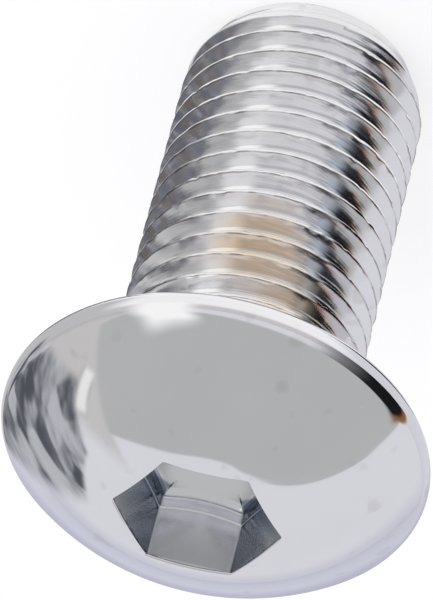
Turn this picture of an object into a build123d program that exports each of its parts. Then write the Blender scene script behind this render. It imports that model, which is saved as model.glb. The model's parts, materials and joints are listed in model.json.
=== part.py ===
from build123d import *
from math import atan2, ceil, cos, degrees, floor, radians, sqrt, tan
import os

# A button head cap screw of 3/8 in, 24 threads to the inch and 3/4 in long, in chrome-plated steel.
# It is turned, threaded and punched with its dome up and its bearing face at height 0, and at the
# end it is set down on its flat tip. Lengths are in millimetres.

# Thread, of the basic unified form
thread_diameter = 9.45
threads_per_inch = 24
inch = 25.4
thread_angle = 60
crest_flat_share = 1 / 8
thread_depth_share = 5 / 8
plain_neck_length = 1.0
run_out_turns = 0.75

# Shank, from the bearing face to the tip
shank_length = 18.5
tip_chamfer_length = 1.54
tip_chamfer_depth = 0.745
neck_cone_size = 0.3

# Head
head_diameter = 16.4
head_height = 5.0
rim_radius = 0.89

# Hexagon socket, for a 7/32 in key
socket_width = 5.56
socket_corner_depth = 2.37
socket_bottom_slope = 25
socket_step_width = 0.08
socket_step_depth = 0.6
socket_turn = 25.34

thread_radius = thread_diameter / 2
chamfer_height = tip_chamfer_length - shank_length

# The dome is the cap of a ball that runs into the rolled rim without an edge
rim_x = head_diameter / 2 - rim_radius
rise = head_height - rim_radius
dome_radius = (rim_x**2 + rise**2 - rim_radius**2) / (2 * (rise - rim_radius))
dome_centre = head_height - dome_radius
dome_start = degrees(atan2(rim_radius - dome_centre, rim_x))

# Head and shank are turned together, as one profile spun about the axis
with BuildPart() as upright:
    with BuildSketch(Plane.YZ):
        with BuildLine():
            dome = CenterArc((0, dome_centre), dome_radius, dome_start, 90 - dome_start)
            rim = CenterArc((rim_x, rim_radius), rim_radius, -90, 90 + dome_start)
            Polyline(
                rim @ 0,
                (thread_radius + neck_cone_size, 0),
                (thread_radius, -neck_cone_size),
                (thread_radius, chamfer_height),
                (thread_radius - tip_chamfer_depth, -shank_length),
                (0, -shank_length),
                dome @ 1,
            )
        make_face()
    revolve(axis=Axis.Z)

# The groove between two crests has two slanted flanks and a flat root. Its mouth reaches a little
# past the crests, but not so far that one turn's mouth would run into the next.
pitch = inch / threads_per_inch
flank_slope = tan(radians(thread_angle / 2))
crest_flat = crest_flat_share * pitch
thread_depth = thread_depth_share * pitch / (2 * flank_slope)
half_mouth = (pitch - crest_flat) / 2
half_root = half_mouth - thread_depth * flank_slope
root_x = thread_radius - thread_depth
half_mouth_outside = half_mouth + crest_flat / 4
mouth_reach = crest_flat / 4 / flank_slope
mouth_x = thread_radius + mouth_reach

# The last full crest ends just where the chamfer starts, on the side away from X. Half a turn from
# there, where the winding starts, a groove is level with that crest.
last_crest = chamfer_height + crest_flat / 2
turns_past_tip = ceil((last_crest + shank_length + half_mouth_outside) / pitch)
groove_start = last_crest - turns_past_tip * pitch
groove_length = -plain_neck_length - half_mouth - run_out_turns * pitch - groove_start
groove_turns = floor(groove_length / pitch)
turns_per_cut = 4


def wind_groove(start, turns, climb):
    """The groove's solid over some turns from a height, which may climb outwards as it winds."""
    cone = degrees(atan2(climb, turns * pitch))
    with BuildPart() as groove:
        with BuildLine(mode=Mode.PRIVATE) as winding:
            Helix(pitch / cos(radians(cone)), turns * pitch, thread_radius, (0, 0, start), cone_angle=cone)
        with BuildSketch(Plane(origin=(0, 0, start), x_dir=(1, 0, 0), z_dir=(0, -1, 0))):
            with BuildLine():
                Polyline(
                    (root_x, half_root),
                    (root_x, -half_root),
                    (mouth_x, -half_mouth_outside),
                    (mouth_x, half_mouth_outside),
                    close=True,
                )
            make_face()
        sweep(path=winding.line, is_frenet=True)
    return groove.part


# The groove is cut a few turns at a time. Over the run-out it climbs out of the steel.
with upright:
    for turn in range(0, groove_turns, turns_per_cut):
        turns = min(turns_per_cut, groove_turns - turn)
        add(wind_groove(groove_start + turn * pitch, turns, climb=0), mode=Mode.SUBTRACT)
    run_out_start = groove_start + groove_turns * pitch
    run_out = wind_groove(run_out_start, run_out_turns, climb=thread_depth + mouth_reach)
    add(run_out, mode=Mode.SUBTRACT)

# The socket is a hexagon whose bottom is coned, as its punch's nose is, so each flat reaches
# deeper at its middle than at its corners. A second, narrower hexagon steps down from it.
corner_share = 2 / sqrt(3)
socket_corner = socket_width / 2 * corner_share
mouth_height = dome_centre + sqrt(dome_radius**2 - socket_corner**2)
bottom_slope = tan(radians(socket_bottom_slope))


def punch(width, corner_height):
    """A hexagonal punch with a coned nose, whose corners end at the height given."""
    corner = width / 2 * corner_share
    nose_height = corner_height - corner * bottom_slope
    top_height = corner_height + 2 * head_height
    outside = 2 * corner
    with BuildPart() as tool:
        with BuildSketch(Plane.XY.offset(nose_height)):
            RegularPolygon(width / 2, 6, major_radius=False, rotation=socket_turn)
        extrude(amount=top_height - nose_height)
        with BuildSketch(Plane.YZ):
            with BuildLine():
                Polyline(
                    (0, nose_height),
                    (outside, nose_height + outside * bottom_slope),
                    (outside, top_height),
                    (0, top_height),
                    close=True,
                )
            make_face()
        revolve(axis=Axis.Z, mode=Mode.INTERSECT)
    return tool.part


with upright:
    wall_bottom = mouth_height - socket_corner_depth
    add(punch(socket_width, wall_bottom), mode=Mode.SUBTRACT)
    narrow_width = socket_width - 2 * socket_step_width
    add(punch(narrow_width, wall_bottom - socket_step_depth), mode=Mode.SUBTRACT)

# It stands on its tip, and the side where the winding starts becomes its front, towards -Y
standing = Plane(origin=(0, 0, shank_length), x_dir=(0, -1, 0), z_dir=(0, 0, 1))
with BuildPart() as button_head_screw:
    add(upright.part.moved(standing.location))

button_head_screw.part.label = "button_head_screw"
os.makedirs("parts", exist_ok=True)
export_step(button_head_screw.part, "parts/button_head_screw.step")
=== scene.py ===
# %% [markdown]
# # A chromed button head screw
#
# The screw is one piece of steel: a low domed head with a hexagon socket, and a shank with a rolled
# thread. It is plated with bright chrome, which has hardly any colour of its own and shows whatever
# stands around it. So this lesson has two halves: a clean, finely stepped mesh with every edge a
# little rounded, and a small studio for that mesh to mirror.

# %% Load the frame
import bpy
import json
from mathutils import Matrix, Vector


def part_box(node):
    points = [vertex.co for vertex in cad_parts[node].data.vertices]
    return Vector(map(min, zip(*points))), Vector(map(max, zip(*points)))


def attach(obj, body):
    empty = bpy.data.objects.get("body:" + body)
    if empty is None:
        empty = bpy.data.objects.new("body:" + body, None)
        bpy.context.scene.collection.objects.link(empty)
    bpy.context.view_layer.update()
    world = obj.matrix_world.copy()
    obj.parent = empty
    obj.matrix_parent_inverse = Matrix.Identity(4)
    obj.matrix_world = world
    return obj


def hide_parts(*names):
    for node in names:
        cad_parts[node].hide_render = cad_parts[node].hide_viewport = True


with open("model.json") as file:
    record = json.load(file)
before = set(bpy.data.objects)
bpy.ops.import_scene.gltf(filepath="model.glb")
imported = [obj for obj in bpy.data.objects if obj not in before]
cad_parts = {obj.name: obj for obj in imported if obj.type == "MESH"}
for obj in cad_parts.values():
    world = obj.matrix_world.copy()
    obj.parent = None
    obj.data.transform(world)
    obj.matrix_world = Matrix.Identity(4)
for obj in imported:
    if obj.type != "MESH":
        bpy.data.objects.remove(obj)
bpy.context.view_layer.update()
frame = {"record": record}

# %% Tools
import json
from math import atan2, ceil, cos, floor, hypot, pi, radians, sin, sqrt, tan

import bmesh
import bpy
from mathutils import Matrix, Vector, noise

# %% [markdown]
# ## The sizes
#
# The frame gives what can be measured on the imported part: the height of the bearing face under the
# head, the head's width and the thread's radius. The rest are the maker's own sizes. Everything is
# worked in millimetres in the screw's own frame, where the bearing face is at height 0 and the dome
# is up. One matrix puts it in its place at the end.

# %% Sizes from the frame and from the drawing
mm = 0.001
mounts = {mount["name"]: mount for mount in frame["record"]["mounts"]}
low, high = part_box("button_head_screw")
shank_length = mounts["under_head_face"]["pos_m"][2] / mm
head_radius = (high[0] - low[0]) / 2 / mm
thread_radius = mounts["thread"]["dims"]["r_mm"]

head_height = 5.0
rim_radius = 0.89
inch = 25.4
pitch = inch / 24
print("shank", round(shank_length, 3), "head radius", round(head_radius, 3), "thread radius", thread_radius)

# %% [markdown]
# ## The head: why it grows from the socket's mouth
#
# On the real head a ball-shaped dome runs into a rolled rim, and a hexagonal punch has pressed the
# socket into it. A spun profile with a hexagon cut out by a boolean would leave long thin faces
# around the mouth, and a mirror finish shows each of them as a crease. So the mesh starts from the
# hexagon itself. Ring after ring is extruded outwards from it, and each ring is a little less of a
# hexagon and a little more of a circle, until the last one is the round edge of the dome.

# %% Rings that grow
steps_per_turn = 168
half_step = pi / steps_per_turn


def in_turn(verts):
    """The vertices of a ring by their angle about the axis, counted from half a step before X."""
    return sorted(verts, key=lambda vert: (atan2(vert.co.y, vert.co.x) + half_step) % (2 * pi))


def grow_ring(mesh, ring, place):
    """Extrudes a ring of edges, and moves its vertex of each number to where place says."""
    grown = bmesh.ops.extrude_edge_only(mesh, edges=ring)["geom"]
    verts = {item for item in grown if isinstance(item, bmesh.types.BMVert)}
    for number, vert in enumerate(in_turn(verts)):
        vert.co = place(number)
    edges = [item for item in grown if isinstance(item, bmesh.types.BMEdge)]
    return [edge for edge in edges if edge.verts[0] in verts and edge.verts[1] in verts]


# %% The hexagon of the mouth, with slightly rounded corners
socket_width = 5.56
socket_turn = radians(25.34)
corner_round = 0.12
corner_steps = 4
socket_corner = socket_width / sqrt(3)

screw = bmesh.new()
bmesh.ops.create_circle(screw, cap_ends=False, radius=socket_corner, segments=6)
first_corner = screw.verts[:][0].co
bmesh.ops.rotate(
    screw,
    cent=(0, 0, 0),
    matrix=Matrix.Rotation(socket_turn - atan2(first_corner.y, first_corner.x), 3, "Z"),
    verts=screw.verts,
)
bmesh.ops.bevel(
    screw,
    geom=screw.verts[:] + screw.edges[:],
    offset=corner_round * tan(radians(30)),
    offset_type="OFFSET",
    affect="VERTICES",
    segments=corner_steps,
    profile=0.5,
    material=-1,
)
sides = sorted(screw.edges, key=lambda edge: -edge.calc_length())[:6]
bmesh.ops.subdivide_edges(screw, edges=sides, cuts=steps_per_turn // 6 - corner_steps - 1)
mouth = [vert.co.copy() for vert in in_turn(screw.verts)]
mouth_edges = screw.edges[:]
print("vertices round the mouth:", len(mouth))

# %% The dome, blended from hexagon to circle
rim_x = head_radius - rim_radius
rise = head_height - rim_radius
dome_radius = (rim_x**2 + rise**2 - rim_radius**2) / (2 * (rise - rim_radius))
dome_centre = head_height - dome_radius
dome_start = atan2(rim_radius - dome_centre, rim_x)
dome_edge = dome_radius * cos(dome_start)
dome_rings = 46
first_ring_share = 0.04

# The circles start at the angle that twists the rings least against the hexagon
angles = [atan2(point.y, point.x) % (2 * pi) - 2 * pi * n / steps_per_turn for n, point in enumerate(mouth)]
circle_start = sum(angles) / len(angles)


def on_circle(number, radius, height):
    """The place of a numbered vertex on a circle about the axis."""
    angle = circle_start + 2 * pi * number / steps_per_turn
    return Vector((radius * cos(angle), radius * sin(angle), height))


def on_dome(flat):
    """Lifts a point of the ground plan onto the dome."""
    return Vector((flat.x, flat.y, dome_centre + sqrt(dome_radius**2 - flat.x**2 - flat.y**2)))


for vert in screw.verts:
    vert.co = on_dome(vert.co)
ring = mouth_edges
for step in range(1, dome_rings + 1):
    share = first_ring_share + (1 - first_ring_share) * (step - 1) / (dome_rings - 1)
    ring = grow_ring(screw, ring, lambda n: on_dome(mouth[n].lerp(on_circle(n, dome_edge, 0), share)))
print("dome radius", round(dome_radius, 3), "faces", len(screw.faces))

# %% [markdown]
# The rolled rim is a plain round edge, and the bearing face under the head is flat. Where it meets
# the neck of the shank, a small fillet leads round the corner, as on every headed screw, because a
# sharp corner there would start a crack. All three are more rings, so no seam is left to close.

# %% Rim, bearing face and neck fillet
rim_rings = 30
face_shares = (0.35, 0.7, 1)
neck_fillet = 0.3
neck_rings = 6
for step in range(1, rim_rings + 1):
    angle = dome_start - (dome_start + pi / 2) * step / rim_rings
    radius = rim_x + rim_radius * cos(angle)
    height = rim_radius + rim_radius * sin(angle)
    ring = grow_ring(screw, ring, lambda n: on_circle(n, radius, height))
for share in face_shares:
    radius = rim_x + (thread_radius + neck_fillet - rim_x) * share
    ring = grow_ring(screw, ring, lambda n: on_circle(n, radius, 0))
for step in range(1, neck_rings + 1):
    angle = pi / 2 * step / neck_rings
    radius = thread_radius + neck_fillet - neck_fillet * sin(angle)
    height = -neck_fillet * (1 - cos(angle))
    ring = grow_ring(screw, ring, lambda n: on_circle(n, radius, height))
print("faces with the rim and neck:", len(screw.faces))

# %% [markdown]
# ## The socket
#
# The socket is pressed in two blows. The first punch goes deepest. The second is a hair wider and
# sizes the walls for the key, and it leaves a narrow ledge around the first one's hole. Both punches
# have a coned nose, so the bottom of each flat is an arch, deepest at its middle. The walls go down
# from the same mouth ring, so they share its vertices with the dome.

# %% Walls, ledge and coned bottom
corner_depth = 2.37
bottom_slope = tan(radians(25))
ledge_width = 0.08
ledge_depth = 0.6
wall_rings = 10
low_wall_rings = 2
bottom_rings = 9

mouth_corner_height = on_dome(Vector((socket_corner, 0, 0))).z
nose_height = mouth_corner_height - corner_depth - socket_corner * bottom_slope
narrow = 1 - ledge_width / (socket_width / 2)


def on_cone(number, share, drop):
    """A point of the coned bottom, at a share of the way out to the mouth's hexagon."""
    flat = mouth[number] * share
    return Vector((flat.x, flat.y, nose_height - drop + hypot(flat.x, flat.y) * bottom_slope))


ring = mouth_edges
for step in range(1, wall_rings + 1):
    ring = grow_ring(screw, ring, lambda n: on_dome(mouth[n]).lerp(on_cone(n, 1, 0), step / wall_rings))
wall_foot = ring
ledge = ring = grow_ring(screw, ring, lambda n: on_cone(n, narrow, 0))
for step in range(1, low_wall_rings + 1):
    ring = grow_ring(screw, ring, lambda n: on_cone(n, narrow, ledge_depth * step / low_wall_rings))
low_wall_foot = ring
for step in range(1, bottom_rings):
    ring = grow_ring(screw, ring, lambda n: on_cone(n, narrow * (1 - step / bottom_rings), ledge_depth))
cone_tip = screw.verts.new((0, 0, nose_height - ledge_depth))
for edge in ring:
    screw.faces.new((*edge.verts, cone_tip))
print("faces with the socket:", len(screw.faces))

# %% [markdown]
# A punched edge is never sharp. The mouth, the foot of the wall, the ledge and the foot of the
# narrow wall are bevelled, and these thin rounded edges catch the light as bright lines. The dome
# and the walls were grown two ways from one ring, so the normals are made to agree first: a bevel
# between faces that disagree leaves holes.

# %% Rounded edges of the socket
mouth_bevel = 0.13
wall_foot_bevel = 0.03
ledge_bevel = 0.045
low_wall_foot_bevel = 0.25
edge_steps = 4

socket_edges = (
    (mouth_edges, mouth_bevel),
    (wall_foot, wall_foot_bevel),
    (ledge, ledge_bevel),
    (low_wall_foot, low_wall_foot_bevel),
)
bmesh.ops.recalc_face_normals(screw, faces=screw.faces)
for edges, size in socket_edges:
    bmesh.ops.bevel(
        screw,
        geom=[edge for edge in edges if edge.is_valid],
        offset=size,
        offset_type="OFFSET",
        affect="EDGES",
        segments=edge_steps,
        profile=0.5,
        material=-1,
    )
print("faces after the bevels:", len(screw.faces))

# %% [markdown]
# ## The thread
#
# A rolled thread is a groove that winds up the shank. Its profile over one pitch is drawn as a few
# vertices. Rolling leaves the root well rounded and the crest's two edges only just rounded, so
# their bevels differ. The flank that faces the head is hollow by a hair, which a mirror finish shows
# as a slow change across it, and its first row sits close to the crest, so the crest stays crisp.

# %% The measures of one pitch
flank_angle = radians(30)
flank_slope = tan(flank_angle)
crest_flat = pitch / 8
thread_depth = 5 / 8 * pitch / (2 * flank_slope)
half_mouth = (pitch - crest_flat) / 2
half_root = half_mouth - thread_depth * flank_slope
root_radius = thread_radius - thread_depth
chamfer_length = 1.54
chamfer_depth = 0.745
chamfer_top = chamfer_length - shank_length

last_crest = chamfer_top + crest_flat / 2
turns_past_tip = ceil((last_crest + shank_length + half_mouth) / pitch)
groove_start = last_crest - turns_past_tip * pitch
print("thread depth", round(thread_depth, 4), "root radius", round(root_radius, 4))

# %% The profile of one pitch
hollow = 0.015
flank_shares = (0.05, 0.3, 0.55, 0.76)
root_round, root_steps = 0.12, 5
crest_steps = 3
tip_side_round = 0.035
head_side_round = 0.012


def on_flank(share):
    """A point of the flank that faces the head, at a share of the way from crest to root."""
    inwards = 4 * hollow * share * (1 - share)
    radius = thread_radius - thread_depth * share - inwards * sin(flank_angle)
    height = pitch - half_mouth + thread_depth * flank_slope * share - inwards * cos(flank_angle)
    return radius, height


corners = [
    (root_radius, 0),
    (root_radius, half_root),
    (thread_radius, half_mouth),
    (thread_radius, pitch - half_mouth),
    *[on_flank(share) for share in flank_shares],
    (root_radius, pitch - half_root),
    (root_radius, pitch),
]
thread = bmesh.new()
points = [thread.verts.new((radius, 0, groove_start - pitch + height)) for radius, height in corners]
for lower, upper in zip(points, points[1:]):
    thread.edges.new((lower, upper))
profile_corners = (
    ((points[1], points[-2]), root_round, root_steps),
    ((points[2],), tip_side_round, crest_steps),
    ((points[3],), head_side_round, crest_steps),
)
for chosen, size, steps in profile_corners:
    bmesh.ops.bevel(
        thread,
        geom=list(chosen),
        offset=size,
        offset_type="OFFSET",
        affect="VERTICES",
        segments=steps,
        profile=0.5,
        material=-1,
    )
hidden_flank = max(thread.edges, key=lambda edge: edge.calc_length())
bmesh.ops.subdivide_edges(thread, edges=[hidden_flank], cuts=1)
print("rows in one pitch:", len(thread.verts))

# %% [markdown]
# A screw modifier could wind the profile, but the spin operator does it too, with a rise at each
# step, so the rows of faces follow the flanks and the crests stay crisp lines. The other turns are
# copies, each one pitch higher. Every turn's end meets the next one's start, and merging their
# vertices makes one skin.

# %% Wind it up
turns = 18
turn_merge_distance = 0.004
bmesh.ops.spin(
    thread,
    geom=thread.verts[:] + thread.edges[:],
    cent=(0, 0, 0),
    axis=(0, 0, 1),
    dvec=(0, 0, pitch / steps_per_turn),
    angle=2 * pi,
    steps=steps_per_turn,
    use_merge=False,
    use_duplicate=False,
)
one_turn = thread.verts[:] + thread.edges[:] + thread.faces[:]
for turn in range(1, turns):
    copied = bmesh.ops.duplicate(thread, geom=one_turn)["geom"]
    moved = [item for item in copied if isinstance(item, bmesh.types.BMVert)]
    bmesh.ops.translate(thread, verts=moved, vec=(0, 0, turn * pitch))
bmesh.ops.remove_doubles(thread, verts=thread.verts, dist=turn_merge_distance)
print("thread faces:", len(thread.faces))

# %% [markdown]
# Near the head the rolling dies run out: over three quarters of a turn the groove climbs out of the
# steel and ends in a plain neck. Each vertex knows by its angle and height which turn of the groove
# it belongs to, so past the last full turn it is lifted by its share of the climb, and no further
# than the crests.

# %% The run-out under the head
plain_neck = 1.0
run_out_turns = 0.75
mouth_reach = crest_flat / 4 / flank_slope
full_turns = floor((-plain_neck - half_mouth - run_out_turns * pitch - groove_start) / pitch)
climb = thread_depth + mouth_reach

for vert in thread.verts:
    spun = atan2(vert.co.y, vert.co.x) / (2 * pi) % 1
    along = (vert.co.z - groove_start) / pitch - spun
    groove_turn = spun + round(along)
    past = (groove_turn - full_turns) / run_out_turns
    if past > 0:
        radius = hypot(vert.co.x, vert.co.y)
        lifted = min(thread_radius, radius + climb * min(past, 1))
        vert.co.x *= lifted / radius
        vert.co.y *= lifted / radius
print("full turns:", full_turns)

# %% [markdown]
# The tip is chamfered so that it finds its nut. The chamfer is a cone, and the thread is cut off
# where it stands out of it. To get a clean line, each edge that crosses the cone is split just
# there, the new vertices are joined across their faces, and only then is the rest pulled in.

# %% Trim both ends
chamfer_slope = chamfer_depth / chamfer_length
neck_cut = -2.1
for height, outwards in ((-shank_length, -1), (neck_cut, 1)):
    bmesh.ops.bisect_plane(
        thread,
        geom=thread.verts[:] + thread.edges[:] + thread.faces[:],
        plane_co=(0, 0, height),
        plane_no=(0, 0, outwards),
        clear_outer=True,
    )
print("thread faces between the cuts:", len(thread.faces))

# %% Chamfer the tip
on_cone_within = 0.002
chamfer_merge_distance = 0.0015


def past_chamfer(point):
    """How far a point stands out of the chamfer's cone."""
    return hypot(point.x, point.y) - (thread_radius - (chamfer_top - point.z) * chamfer_slope)


crossing = []
for edge in thread.edges:
    if past_chamfer(edge.verts[0].co) * past_chamfer(edge.verts[1].co) < 0:
        crossing.append(edge)
on_line = {vert for vert in thread.verts if abs(past_chamfer(vert.co)) < on_cone_within}
for edge in crossing:
    start, end = edge.verts
    out_start, out_end = past_chamfer(start.co), past_chamfer(end.co)
    if min(abs(out_start), abs(out_end)) > on_cone_within:
        on_line.add(bmesh.utils.edge_split(edge, start, out_start / (out_start - out_end))[1])
bmesh.ops.connect_verts(thread, verts=list(on_line))
for vert in thread.verts:
    out = past_chamfer(vert.co)
    if out > 0:
        radius = hypot(vert.co.x, vert.co.y)
        vert.co.x *= (radius - out) / radius
        vert.co.y *= (radius - out) / radius
bmesh.ops.remove_doubles(thread, verts=thread.verts, dist=chamfer_merge_distance)
print("thread faces after the chamfer:", len(thread.faces))

# %% [markdown]
# Rolled threads are never perfect. The crests carry small nicks from tumbling in the plating drum,
# and the flanks wander by a hundredth of a millimetre. A bump map could only tint these, but a
# mirror finish shows the true shape, so they are moved into the mesh with a little noise: long waves
# everywhere, and short dents at the crests.

# %% Waves and nicks
wave_size = 0.010
wave_scale = 0.9
height_wave_scale = 1.3
height_wave_place = Vector((0, 9, 4))
nick_size = 0.12
nick_scale = 3.4
nick_place = Vector((7, 3, 1))
nick_above = 0.16
crest_from = 0.8
deepest = 0
for vert in thread.verts:
    point = vert.co.copy()
    outwards = Vector((point.x, point.y, 0)).normalized()
    wave = noise.noise(point * wave_scale) * wave_size
    out_share = (hypot(point.x, point.y) - root_radius) / thread_depth
    crest_share = max(0, out_share - crest_from) / (1 - crest_from)
    dent = nick_size * crest_share * max(0, noise.noise(point * nick_scale + nick_place) - nick_above)
    vert.co += outwards * (wave - dent)
    vert.co.z += noise.noise(point * height_wave_scale + height_wave_place) * wave_size
    deepest = max(deepest, dent)
print("deepest nick in millimetres:", round(deepest, 3))

# %% [markdown]
# ## One closed skin
#
# The thread's upper end stops short of the fillet under the head, and its lower end is an open ring.
# The gap at the top is bridged, which makes the plain neck. The ring at the bottom is filled with the
# flat face of the tip, whose narrow border keeps the edge crisp. After that every edge has a face on
# both its sides.

# %% Join the thread to the head and close the tip
tip_border = 0.12
thread_mesh = bpy.data.meshes.new("thread")
thread.to_mesh(thread_mesh)
thread.free()
screw.from_mesh(thread_mesh)
bpy.data.meshes.remove(thread_mesh)
open_edges = [edge for edge in screw.edges if edge.is_boundary]
middles = {edge: (edge.verts[0].co.z + edge.verts[1].co.z) / 2 for edge in open_edges}
neck_ends = [edge for edge in open_edges if middles[edge] > neck_cut - pitch]
bmesh.ops.bridge_loops(screw, edges=neck_ends)
tip_edges = [edge for edge in open_edges if middles[edge] < chamfer_top]
tip_faces = bmesh.ops.contextual_create(screw, geom=tip_edges)["faces"]
bmesh.ops.inset_region(screw, faces=tip_faces, thickness=tip_border, depth=0)
bmesh.ops.triangulate(screw, faces=[face for face in screw.faces if len(face.verts) > 4])
bmesh.ops.recalc_face_normals(screw, faces=screw.faces)
loose = [edge for edge in screw.edges if len(edge.link_faces) != 2]
print("faces in all:", len(screw.faces), "edges without two faces:", len(loose))

# %% [markdown]
# ## Into the frame
#
# The mesh is now turned and lifted into the frame, and scaled to metres. The object itself stays at
# the origin, unturned and unscaled, so its place is in its mesh.

# %% Place the screw
raised = Matrix.Translation((0, 0, shank_length * mm))
place = raised @ Matrix.Rotation(-pi / 2, 4, "Z") @ Matrix.Scale(mm, 4)
bmesh.ops.transform(screw, matrix=place, verts=screw.verts)
screw_mesh = bpy.data.meshes.new("screw")
screw.to_mesh(screw_mesh)
screw.free()
screw_mesh.polygons.foreach_set("use_smooth", [True] * len(screw_mesh.polygons))
screw_piece = bpy.data.objects.new("screw", screw_mesh)
bpy.context.scene.collection.objects.link(screw_piece)
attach(screw_piece, "root")
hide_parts("button_head_screw")
triangles = sum(len(face.vertices) - 2 for face in screw_mesh.polygons)
print("triangles:", triangles)

# %% [markdown]
# ## Building materials from nodes
#
# A few small helpers keep the node cells short. One adds a node, fills its sockets and links what
# is itself a socket. The others do sums, make a soft step from 0 to 1 and mix colours. A value that
# is the same all over a surface is set on the shader itself, and needs none of them.

# %% Helpers for nodes


def add_node(tree, kind, inputs=(), **settings):
    """A new node with its settings, whose inputs are given as pairs of socket and value."""
    node = tree.nodes.new(kind)
    for name, value in settings.items():
        setattr(node, name, value)
    for socket, value in inputs:
        if isinstance(value, bpy.types.NodeSocket):
            tree.links.new(value, node.inputs[socket])
        else:
            node.inputs[socket].default_value = value
    return node


def sums(tree, operation, *values):
    """The result of a sum on sockets or numbers."""
    return add_node(tree, "ShaderNodeMath", list(enumerate(values)), operation=operation).outputs[0]


def product(tree, first, *others):
    """All the values multiplied together."""
    for other in others:
        first = sums(tree, "MULTIPLY", first, other)
    return first


def soft_step(tree, value, start, end, to_low=0.0, to_high=1.0, ease="SMOOTHSTEP"):
    """Goes smoothly from one value to another while the input goes from start to end."""
    inputs = ((0, value), (1, start), (2, end), (3, to_low), (4, to_high))
    kind = "ShaderNodeMapRange"
    return add_node(tree, kind, inputs, interpolation_type=ease, clamp=True).outputs[0]


def between(tree, value, start, end, soft):
    """1 where the value is between two others, with soft ends."""
    rise = soft_step(tree, value, start - soft, start + soft)
    return product(tree, rise, soft_step(tree, value, end + soft, end - soft))


def mix_colours(tree, share, first, second):
    """A mix of two colours, which are sockets or plain values."""
    inputs = ((0, share), (6, first), (7, second))
    return add_node(tree, "ShaderNodeMix", inputs, data_type="RGBA").outputs[2]


def separate(tree, vector):
    """The three parts of a vector."""
    return add_node(tree, "ShaderNodeSeparateXYZ", ((0, vector),)).outputs


def grain(tree, vector, scale, detail):
    """Noise at a place, of a scale in repeats to the metre."""
    inputs = (("Vector", vector), ("Scale", scale), ("Detail", detail))
    return add_node(tree, "ShaderNodeTexNoise", inputs).outputs[0]


# %% [markdown]
# ## Chrome
#
# Chrome plate is a full metal, a shade cooler than silver, and close to a perfect mirror. What makes
# it look real is what is slightly wrong with it: a faint haze that comes and goes, and small duller
# stains. Both are noise on the Object coordinates, so they stay with the screw from any side.

# %% The plating, with its haze and stains
haze_scale, haze_detail = 260, 4
hazy_chrome = (0.745, 0.745, 0.762, 1)
clear_chrome = (0.815, 0.815, 0.828, 1)
stain_scale, stain_detail = 900, 1
stain_from, stain_full = 0.66, 0.76
stain_strength = 0.5
stained_chrome = (0.62, 0.62, 0.6, 1)

chrome = bpy.data.materials.new("bright_chrome")
chrome.use_nodes = True
tree = chrome.node_tree
metal = tree.nodes["Principled BSDF"]
metal.inputs["Metallic"].default_value = 1
on_screw = tree.nodes.new("ShaderNodeTexCoord").outputs["Object"]
haze = grain(tree, on_screw, haze_scale, haze_detail)
plating = mix_colours(tree, haze, hazy_chrome, clear_chrome)
stains = grain(tree, on_screw, stain_scale, stain_detail)
stained = product(tree, soft_step(tree, stains, stain_from, stain_full), stain_strength)
plating = mix_colours(tree, stained, plating, stained_chrome)
print("nodes for haze and stains:", len(tree.nodes))

# %% [markdown]
# The finish differs a little by place: the thread is duller than the polished dome, and the socket
# keeps the punch's grain. So the material needs to know where it is. Height, distance from the axis
# and the angle round the axis all come from the Object coordinates, worked out in millimetres.

# %% Where on the screw a point is
mouth_level = shank_length + mouth_corner_height
thread_fade = (shank_length - 0.2, shank_length - 0.6)
socket_fade = (mouth_level - 0.05, mouth_level - 0.15)
socket_side_fade = (socket_corner + 0.1, socket_corner)

x_place, y_place, z_place = [sums(tree, "DIVIDE", part, mm) for part in separate(tree, on_screw)]
side_squared = product(tree, x_place, x_place)
from_axis = sums(tree, "SQRT", sums(tree, "MULTIPLY_ADD", y_place, y_place, side_squared))
round_axis = sums(tree, "ARCTAN2", x_place, product(tree, y_place, -1))
on_thread = soft_step(tree, z_place, *thread_fade)
in_socket = product(
    tree,
    soft_step(tree, z_place, *socket_fade),
    soft_step(tree, from_axis, *socket_side_fade),
)
print("socket mouth at height", round(mouth_level, 3))

# %% [markdown]
# In a socket the light goes from wall to wall. That shading is painted into the plating colour:
# painted shade darkest near the mouth, painted light deeper down, and painted shade, dimmer and
# bluer, on the back corners of the two side walls. So it shows in any light.

# %% Painted shade and light in the socket
shade_to_light_depths = (mouth_level - 0.4, mouth_level - 3)
mouth_painted_shade = (0.6, 0.605, 0.615, 1)
deep_painted_light = (0.86, 0.865, 0.88, 1)
corner_painted_shade = (0.33, 0.36, 0.42, 1)
left_shaded_corner = ((95, 132), (146.5, 144))
right_shaded_corner = ((-98, -136), (-156, -153.5))
walls_only = (2.6, 2.75)

# Painted shade near the mouth, painted light deeper down.
socket_shading = mix_colours(tree, soft_step(tree, z_place, *shade_to_light_depths), mouth_painted_shade, deep_painted_light)
degrees_round = sums(tree, "DEGREES", round_axis)
# Painted shade, dimmer and bluer, on the back corners of the two side walls.
dim = 0
for shade_rise, shade_end in (left_shaded_corner, right_shaded_corner):
    corner = product(
        tree,
        soft_step(tree, degrees_round, *shade_rise),
        soft_step(tree, degrees_round, *shade_end),
    )
    dim = sums(tree, "MAXIMUM", dim, corner)
dim = product(tree, dim, soft_step(tree, from_axis, *walls_only))
socket_shading = mix_colours(tree, dim, socket_shading, corner_painted_shade)
plating = mix_colours(tree, in_socket, plating, socket_shading)
print("nodes with the socket:", len(tree.nodes))

# %% [markdown]
# Near the head an amber tint is painted on the front of the thread.
# It is three soft balls of tint, and the haze breaks it up.

# %% The amber tint on the thread
amber_patches = (((-0.4, -4.5, 13.2), 2.8), ((-2.2, -3.9, 15.6), 2.6), ((-4.5, -1.4, 16.4), 2.2))
amber_core = 0.3
amber_break = (0.3, 0.6, 0.3, 0.75)
amber = (0.72, 0.6, 0.46, 1)

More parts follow.
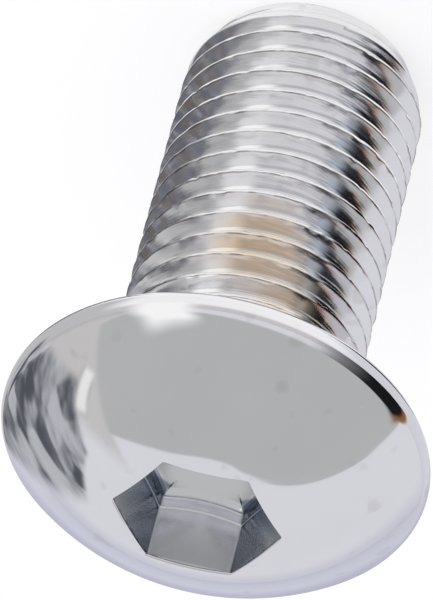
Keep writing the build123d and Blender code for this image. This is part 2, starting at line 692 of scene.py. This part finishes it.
amber_tint = 0
for centre, reach in amber_patches:
    ends = ((0, on_screw), (1, Vector(centre) * mm))
    away = add_node(tree, "ShaderNodeVectorMath", ends, operation="DISTANCE").outputs["Value"]
    amber_tint = sums(tree, "MAXIMUM", amber_tint, soft_step(tree, away, reach * mm, reach * amber_core * mm))
amber_tint = product(tree, amber_tint, soft_step(tree, haze, *amber_break))
plating = mix_colours(tree, amber_tint, plating, amber)
print("film patches:", len(amber_patches))

# %% [markdown]
# Two fine dark brown lines are painted along the crest, one near each of its edges. They are far too
# thin for the mesh, so they are drawn in the material. Height and angle together say how far
# through one pitch a point is, and that picks out two lines which wind with the thread. Noise
# breaks them up, and they stop short of the tip's chamfer and of the neck.

# %% Dark lines along the crests
head_side_line = (0.53, 0.575, 0.015)
tip_side_line = (0.425, 0.45, 0.014)
line_break_scale, line_break_detail = 1400, 2
line_break = (0.38, 0.58, 0.25, 0.85)
line_heights = (1.6, shank_length - 2, 0.1)
line_brown = (0.2, 0.165, 0.14, 1)

climbed = sums(tree, "DIVIDE", sums(tree, "SUBTRACT", z_place, shank_length + groove_start), pitch)
phase = sums(tree, "FRACT", sums(tree, "MULTIPLY_ADD", round_axis, -1 / (2 * pi), climbed))
lines = sums(
    tree,
    "MAXIMUM",
    between(tree, phase, *head_side_line),
    between(tree, phase, *tip_side_line),
)
broken = soft_step(tree, grain(tree, on_screw, line_break_scale, line_break_detail), *line_break)
lines = product(tree, lines, broken, between(tree, z_place, *line_heights))
plating = mix_colours(tree, lines, plating, line_brown)
tree.links.new(plating, metal.inputs["Base Color"])
print("nodes with the crest lines:", len(tree.nodes))

# %% [markdown]
# Last come roughness and relief. The haze is a little rougher than the clear plating, the thread
# more so, and the socket most. The dies left hair-thin marks round the thread: noise that is
# stretched along the turns, by squeezing the Object coordinates along the axis. The dome has tiny
# pits instead.

# %% Roughness and relief
roughness_by_haze = (0.35, 0.7, 0.03, 0.07)
thread_roughness = 0.1
socket_roughness = 0.11
die_mark_squeeze = (1, 1, 60)
die_mark_scale, die_mark_detail, die_mark_height = 300, 3, 0.9
pit_scale, pit_detail, pit_height = 2500, 2, 0.02
relief_strength = 0.1
relief_depth = 0.05 * mm

roughness = soft_step(tree, haze, *roughness_by_haze)
roughness = sums(tree, "MULTIPLY_ADD", on_thread, thread_roughness, roughness)
roughness = sums(tree, "MULTIPLY_ADD", in_socket, socket_roughness, roughness)
tree.links.new(roughness, metal.inputs["Roughness"])

squeeze = (("Vector", on_screw), ("Scale", die_mark_squeeze))
squeezed = add_node(tree, "ShaderNodeMapping", squeeze).outputs[0]
die_marks = grain(tree, squeezed, die_mark_scale, die_mark_detail)
die_marks = product(tree, die_marks, product(tree, on_thread, die_mark_height))
pits = grain(tree, on_screw, pit_scale, pit_detail)
pits = product(tree, pits, sums(tree, "MULTIPLY_ADD", in_socket, -pit_height, pit_height))
relief = sums(tree, "ADD", pits, die_marks)
bump_inputs = (("Height", relief), ("Strength", relief_strength), ("Distance", relief_depth))
bump = add_node(tree, "ShaderNodeBump", bump_inputs).outputs[0]
tree.links.new(bump, metal.inputs["Normal"])
screw_mesh.materials.append(chrome)
print("nodes in the chrome:", len(tree.nodes))

# %% [markdown]
# ## The camera
#
# The camera looks at the head from its front, from 40 degrees up and from a third of a metre away.
# In the photo the screw's tip points up and away, so the camera is rolled over.

# %% Camera
azimuth, elevation, roll = radians(-7.31), radians(40.18), radians(-165.45)
camera_distance = 317.84 * mm
frame_height = 36
lens = 506.9
aim_left = 0.1234 * mm
aim_up = 4.85177 * mm
nearest_seen = 0.01

to_camera = Vector((sin(azimuth) * cos(elevation), -cos(azimuth) * cos(elevation), sin(elevation)))
level_right = Vector((cos(azimuth), sin(azimuth), 0))
right = level_right * cos(roll) + to_camera.cross(level_right) * sin(roll)
up = to_camera.cross(right)
target = Vector((0, 0, shank_length)) * mm - right * aim_left + up * aim_up
camera_data = bpy.data.cameras.new("camera")
camera_data.lens = lens
camera_data.sensor_fit = "VERTICAL"
camera_data.sensor_height = frame_height
camera_data.clip_start = nearest_seen
camera = bpy.data.objects.new("camera", camera_data)
bpy.context.scene.collection.objects.link(camera)
facing = Matrix((right, up, to_camera)).transposed().to_4x4()
camera.matrix_world = Matrix.Translation(target + to_camera * camera_distance) @ facing
bpy.context.scene.camera = camera
print("camera at", [round(x, 4) for x in camera.matrix_world.translation])

# %% [markdown]
# ## The studio
#
# Bright metal is lit by what it sees. Overhead hangs a wide grey diffuser, whose edge draws the
# sharp line across the dome. The room beyond it is pale. Both are painted on the world, by the
# direction that a ray goes in, because they are far away and need no shape of their own. A
# direction is turned into a place on a level ceiling, so that the diffuser's straight edges are
# straight there too, and its curved back edge is a curve of a few points.

# %% The ceiling, as each direction sees it
edge_points = (
    (-2.0, 0.57),
    (-0.75, 0.53),
    (-0.45, 0.46),
    (-0.18, 0.32),
    (0.01, 0.225),
    (0.3, 0.26),
    (0.8, 0.4),
)
lowest_slope = 0.02
slant_aside, slant_back = 0.777, 0.629
front_aside = 0.55

room = bpy.data.worlds.new("room")
bpy.context.scene.world = room
room.use_nodes = True
tree = room.node_tree
background = tree.nodes["Background"]
looking = separate(tree, tree.nodes.new("ShaderNodeTexCoord").outputs["Generated"])
upwards = sums(tree, "MAXIMUM", looking[2], lowest_slope)
aside = sums(tree, "DIVIDE", looking[0], upwards)
back = sums(tree, "DIVIDE", looking[1], upwards)
slanted = sums(tree, "MULTIPLY_ADD", aside, slant_aside, product(tree, back, slant_back))
front_edge = sums(tree, "MULTIPLY_ADD", aside, front_aside, back)

edge_start, edge_end = edge_points[0][0], edge_points[-1][0]
knots = [((x - edge_start) / (edge_end - edge_start), y) for x, y in edge_points]
along_edge = soft_step(tree, aside, edge_start, edge_end, ease="LINEAR")
curve = add_node(tree, "ShaderNodeFloatCurve", (("Value", along_edge),))
line = curve.mapping.curves[0]
line.points[0].location = knots[0]
line.points[-1].location = knots[-1]
for knot in knots[1:-1]:
    line.points.new(*knot)
curve.mapping.update()
behind_edge = sums(tree, "SUBTRACT", back, curve.outputs[0])
print("points of the diffuser's back edge:", len(line.points))

# %% [markdown]
# The pale room is a shade darker on the left wall and low down at the back and left, and the
# diffuser's hem is a thin dark line. The camera itself sees plain white, through the Is Camera Ray
# output, and so would glass. Mirrored rays see the room, because the chrome has to.

# %% The grey diffuser in its pale room
pale_room = (0.82, 0.815, 0.865, 1)
diffuser_grey = (0.54, 0.545, 0.55, 1)
left_wall_grey = (0.66, 0.645, 0.64, 1)
low_back_blue = (0.70, 0.705, 0.80, 1)
low_left_grey = (0.575, 0.57, 0.57, 1)
hem_black = (0.2, 0.185, 0.19, 1)
plain_white = (1, 1, 1, 1)
hem_place, hem_width, hem_strength = 0.012, 0.02, 0.6
hem_reach = (-1.5, -0.3, 0.15)

diffuser = product(
    tree,
    soft_step(tree, behind_edge, 0.015, -0.015),
    soft_step(tree, slanted, 0.95, 0.86),
    soft_step(tree, front_edge, -3.2, -1.7),
    soft_step(tree, aside, -2.9, -2.3),
    soft_step(tree, looking[2], 0.0, 0.02),
)
left_wall = product(tree, soft_step(tree, slanted, 0.83, 0.9), soft_step(tree, back, 0.75, 0.45))
low_back = product(tree, soft_step(tree, looking[2], 0.16, 0.0), soft_step(tree, looking[1], 0.45, 0.95))
low_left = product(tree, soft_step(tree, looking[2], 0.3, 0.0), soft_step(tree, looking[0], 0.4, 0.8))
seen = mix_colours(tree, left_wall, pale_room, left_wall_grey)
seen = mix_colours(tree, low_back, seen, low_back_blue)
seen = mix_colours(tree, low_left, seen, low_left_grey)
seen = mix_colours(tree, diffuser, seen, diffuser_grey)
from_hem = sums(tree, "ABSOLUTE", sums(tree, "SUBTRACT", behind_edge, hem_place))
hem = product(
    tree,
    soft_step(tree, from_hem, hem_width, 0.0, 0, hem_strength),
    between(tree, aside, *hem_reach),
)
seen = mix_colours(tree, hem, seen, hem_black)
rays = tree.nodes.new("ShaderNodeLightPath").outputs
sees_white = sums(tree, "MAXIMUM", rays["Is Camera Ray"], rays["Is Transmission Ray"])
tree.links.new(mix_colours(tree, sees_white, seen, plain_white), background.inputs["Color"])
print("nodes in the room:", len(tree.nodes))

# %% [markdown]
# Nearer things stand round the screw as curved screens, like the walls of a small tent. Each is a
# strip of a cylinder, spun from one upright edge, with a glowing paint that covers part of it and
# leaves the rest clear. The camera doesn't see them, and they throw no shadow and no light on
# anything but the mirror. They are no part of the screw.

# %% How a screen is stood up
screen_steps = 32


def stand_screen(name, distance, azimuths, levels, colour_of):
    """A curved screen round the screw, between two azimuths and two heights."""
    from_azimuth, to_azimuth = azimuths
    shape = bmesh.new()
    side = Matrix.Rotation(radians(from_azimuth), 3, "Z") @ Vector((0, -distance, 0))
    ends = [shape.verts.new((side + Vector((0, 0, level))) * mm) for level in levels]
    edge = shape.edges.new(ends)
    bmesh.ops.spin(
        shape,
        geom=[*edge.verts, edge],
        cent=(0, 0, 0),
        axis=(0, 0, 1),
        angle=radians(to_azimuth - from_azimuth),
        steps=screen_steps,
        use_merge=False,
        use_duplicate=False,
    )
    mesh = bpy.data.meshes.new(name)
    shape.to_mesh(mesh)
    shape.free()
    screen = bpy.data.objects.new(name, mesh)
    bpy.context.scene.collection.objects.link(screen)
    screen.visible_camera = False
    screen.visible_diffuse = False
    screen.visible_shadow = False
    mesh.materials.append(glowing_paint(name, colour_of))
    print(name, "stands", distance, "mm from the axis")


def glowing_paint(name, colour_of):
    """A paint that glows with a colour where it covers, and is clear elsewhere."""
    paint = bpy.data.materials.new(name)
    paint.use_nodes = True
    tree = paint.node_tree
    tree.nodes.clear()
    x, y, z = separate(tree, tree.nodes.new("ShaderNodeTexCoord").outputs["Object"])
    round_screw = sums(tree, "ARCTAN2", x, product(tree, y, -1))
    height = sums(tree, "DIVIDE", z, mm)
    colour, cover = colour_of(tree, sums(tree, "DEGREES", round_screw), height)
    light = add_node(tree, "ShaderNodeEmission", ((0, colour),)).outputs[0]
    clear = tree.nodes.new("ShaderNodeBsdfTransparent").outputs[0]
    shown = add_node(tree, "ShaderNodeMixShader", ((0, cover), (1, clear), (2, light))).outputs[0]
    add_node(tree, "ShaderNodeOutputMaterial", ((0, shown),))
    return paint


def on_screen(tree, azimuth, height, scale):
    """A place on a screen, stretched by its own scale along the azimuth and the height."""
    flat = add_node(tree, "ShaderNodeCombineXYZ", ((0, azimuth), (1, height))).outputs[0]
    return add_node(tree, "ShaderNodeMapping", (("Vector", flat), ("Scale", scale))).outputs[0]


# %% [markdown]
# Three screens stand further off, and the dome mirrors them: a bright lamp behind cloth, which is
# the white patch on the upper rim, a black one with a warm end, which is the dark crescent on the
# rim, and the dim corner of the room with a bright bar beside it. Things in that corner are a blur,
# so cells and streaks of noise stand for them.

# %% The far screens
lamp_white = (1.15, 1.15, 1.14, 1)
screen_black = (0.012, 0.012, 0.014, 1)
screen_grey = (0.3, 0.3, 0.31, 1)
screen_warm = (0.3, 0.14, 0.06, 1)
corner_dark = (0.10, 0.105, 0.125, 1)
corner_pale = (0.56, 0.575, 0.61, 1)
bar_white = (0.98, 0.97, 0.96, 1)
cell_scale = (0.08, 0.17, 1)
streak_scale = (0.08, 0.22, 1)
cell_smoothness = 0.35
cell_share = 0.45
slope_from = 125


def lamp_screen(tree, azimuth, height):
    """A bright lamp, soft at its two sides and its top."""
    return lamp_white, product(tree, between(tree, azimuth, 18, 44, 6), soft_step(tree, height, 62, 50))


def black_screen(tree, azimuth, height):
    """Grey at its front end, then black, then a warm edge."""
    colour = mix_colours(tree, soft_step(tree, azimuth, -72, -44), screen_black, screen_grey)
    colour = mix_colours(tree, soft_step(tree, azimuth, -91, -95), colour, screen_warm)
    far_end = soft_step(tree, azimuth, -98.5, -95.5)
    front_end = soft_step(tree, azimuth, -34, -54)
    return colour, product(tree, far_end, front_end, soft_step(tree, height, 48, 43))


def dim_corner(tree, azimuth, height):
    """Blurred things in a dim corner, under a top that slopes, with a bright bar beside it."""
    cells = (
        ("Vector", on_screen(tree, azimuth, height, cell_scale)),
        ("Scale", 1),
        ("Smoothness", cell_smoothness),
    )
    things = add_node(tree, "ShaderNodeTexVoronoi", cells, feature="SMOOTH_F1").outputs["Color"]
    streaks = grain(tree, on_screen(tree, azimuth, height, streak_scale), 1, 2)
    streaks = product(tree, streaks, 1 - cell_share)
    blur = sums(tree, "MULTIPLY_ADD", separate(tree, things)[0], cell_share, streaks)
    colour = mix_colours(tree, soft_step(tree, blur, 0.32, 0.7), corner_dark, corner_pale)
    slope = sums(tree, "MAXIMUM", sums(tree, "SUBTRACT", azimuth, slope_from), 0)
    top = soft_step(tree, sums(tree, "ADD", height, slope), 63, 59)
    clutter = product(tree, between(tree, azimuth, 94, 144, 4), top)
    bar = product(tree, between(tree, azimuth, 84, 107, 3), between(tree, height, 59, 67, 2))
    return mix_colours(tree, bar, colour, bar_white), sums(tree, "MAXIMUM", clutter, bar)


stand_screen("lamp_screen", 45, (8, 54), (0, 66), lamp_screen)
stand_screen("black_screen", 60, (-100, -32), (0, 50), black_screen)
stand_screen("dim_corner", 60, (78, 150), (0, 72), dim_corner)

# %% [markdown]
# Two small cards stand close to the thread. Its flanks lean, so they mirror what is near the floor
# and, by way of the underside of the head, what is just beside the shank. The far screens don't
# reach there. One card gives the dark column down the thread, and the other its mottled left side.

# %% The near cards
card_distance = 8.7
near_blue = (0.62, 0.67, 0.76, 1)
near_deep_black = (0.008, 0.008, 0.012, 1)
near_orange = (0.5, 0.24, 0.08, 1)
clutter_brown = (0.15, 0.12, 0.1, 1)
clutter_blue = (0.12, 0.135, 0.18, 1)
clutter_light = (0.75, 0.8, 0.88, 1)
patch_scale = (0.14, 0.6, 1)
light_scale = (0.3, 1.6, 1)
light_strength = 0.7


def near_black(tree, azimuth, height):
    """Soft blue at the front, then black, with an orange line at its far end."""
    colour = mix_colours(tree, soft_step(tree, azimuth, -44, -57), near_blue, near_deep_black)
    colour = mix_colours(tree, soft_step(tree, azimuth, -78, -81), colour, near_orange)
    front_end = soft_step(tree, azimuth, -36, -46)
    return colour, product(tree, front_end, soft_step(tree, azimuth, -84, -81))


def near_clutter(tree, azimuth, height):
    """Dark blue and brown, with some light spots."""
    patches = grain(tree, on_screen(tree, azimuth, height, patch_scale), 1, 2)
    colour = mix_colours(tree, soft_step(tree, patches, 0.42, 0.58), clutter_brown, clutter_blue)
    spots = grain(tree, on_screen(tree, azimuth, height, light_scale), 1, 2)
    lit = soft_step(tree, spots, 0.54, 0.66, 0, light_strength)
    return mix_colours(tree, lit, colour, clutter_light), between(tree, azimuth, 64, 108, 8)


stand_screen("near_black", card_distance, (-90, -34), (5, 16.6), near_black)
stand_screen("near_clutter", card_distance, (54, 118), (2, 16.6), near_clutter)

# %% [markdown]
# ## The floor
#
# The floor is plain and pale. Part of its white is its own colour under the light, which keeps the
# soft shadow under the head. The rest is a glow that only the camera and mirrored rays see, so it
# adds no light to the screw. To the camera the glow is even. To mirrored rays it is painted light
# and shade, a little brighter or dimmer by direction and distance, as a table in a real room is,
# because the rim and the thread's flanks mirror it: a painted shadow close behind the screw, where
# the head's shadow falls, and a ring of painted light in front of and beside its foot.

# %% The ground
floor_size = 1.5
floor_shape = bmesh.new()
bmesh.ops.create_grid(floor_shape, x_segments=1, y_segments=1, size=floor_size)
floor_mesh = bpy.data.meshes.new("floor")
floor_shape.to_mesh(floor_mesh)
floor_shape.free()
ground = bpy.data.objects.new("floor", floor_mesh)
bpy.context.scene.collection.objects.link(ground)
print("floor across in metres:", round(ground.dimensions.x, 3))

# %% Pale paint, with a glow for the camera and for mirrors
floor_colour = (0.36, 0.36, 0.37, 1)
even_glow = (0.7, 0.7, 0.7, 1)
open_glow = (0.47, 0.465, 0.51, 1)
back_glow_far = (0.385, 0.39, 0.48, 1)
back_painted_shadow = (0.17, 0.18, 0.28, 1)
back_glow_at_foot = (0.55, 0.55, 0.58, 1)
left_glow = (0.29, 0.285, 0.27, 1)
front_glow_far = (0.37, 0.345, 0.35, 1)
front_glow_near = (0.76, 0.75, 0.74, 1)
foot_painted_light = (0.8, 0.79, 0.78, 1)

pale_paint = bpy.data.materials.new("pale_floor")
pale_paint.use_nodes = True
tree = pale_paint.node_tree
paint = tree.nodes["Principled BSDF"]
paint.inputs["Base Color"].default_value = floor_colour
paint.inputs["Roughness"].default_value = 1
paint.inputs["Specular IOR Level"].default_value = 0

on_floor = tree.nodes.new("ShaderNodeTexCoord").outputs["Object"]
from_foot = add_node(tree, "ShaderNodeVectorMath", ((0, on_floor),), operation="LENGTH").outputs["Value"]
from_foot = sums(tree, "DIVIDE", from_foot, mm)
towards = add_node(tree, "ShaderNodeVectorMath", ((0, on_floor),), operation="NORMALIZE").outputs["Vector"]
towards = separate(tree, towards)

# Painted shadow: close behind the screw the mirrored glow is darker, where the head's shadow falls, and
# lighter again nearest the foot.
back_glow = mix_colours(tree, soft_step(tree, from_foot, 100, 30), back_glow_far, back_painted_shadow)
back_glow = mix_colours(tree, soft_step(tree, from_foot, 25, 20), back_glow, back_glow_at_foot)
front_glow = mix_colours(tree, soft_step(tree, from_foot, 70, 35), front_glow_far, front_glow_near)
glow = mix_colours(tree, soft_step(tree, towards[1], 0.65, 1.0), open_glow, back_glow)
glow = mix_colours(tree, soft_step(tree, towards[0], 0.5, 0.85), glow, left_glow)
glow = mix_colours(tree, soft_step(tree, towards[1], -0.4, -0.7), glow, front_glow)
# Painted light: a brighter ring of mirrored glow in front of and beside the foot.
foot_light_ring = product(
    tree,
    soft_step(tree, from_foot, 18, 12),
    soft_step(tree, from_foot, 6, 8),
    soft_step(tree, towards[1], 0.6, 0.2),
)
glow = mix_colours(tree, foot_light_ring, glow, foot_painted_light)

rays = tree.nodes.new("ShaderNodeLightPath").outputs
mirrored = sums(tree, "MAXIMUM", rays["Is Glossy Ray"], rays["Is Transmission Ray"])
glow = mix_colours(tree, rays["Is Camera Ray"], glow, even_glow)
tree.links.new(glow, paint.inputs["Emission Color"])
seen_by = sums(tree, "MAXIMUM", rays["Is Camera Ray"], mirrored)
tree.links.new(seen_by, paint.inputs["Emission Strength"])
floor_mesh.materials.append(pale_paint)
print("nodes in the floor's paint:", len(tree.nodes))

# %% [markdown]
# One wide soft lamp from above brings the light to a plain level for anything that isn't a mirror.
# It is hidden from mirrored rays, because its shape would show in the dome.

# %% The soft lamp
lamp_width = 0.5
lamp_power = 1.2
lamp_place = Vector((0.12, -0.2, 0.6))
lamp_data = bpy.data.lights.new("soft_lamp", "AREA")
lamp_data.shape = "DISK"
lamp_data.size = lamp_width
lamp_data.energy = lamp_power
lamp = bpy.data.objects.new("soft_lamp", lamp_data)
bpy.context.scene.collection.objects.link(lamp)
lamp.location = lamp_place
lamp.rotation_euler = (-lamp_place).to_track_quat("-Z", "Y").to_euler()
lamp.visible_glossy = False
print("lamp power in watts:", lamp_power)

# %% Look
bpy.context.scene.view_settings.view_transform = "Standard"
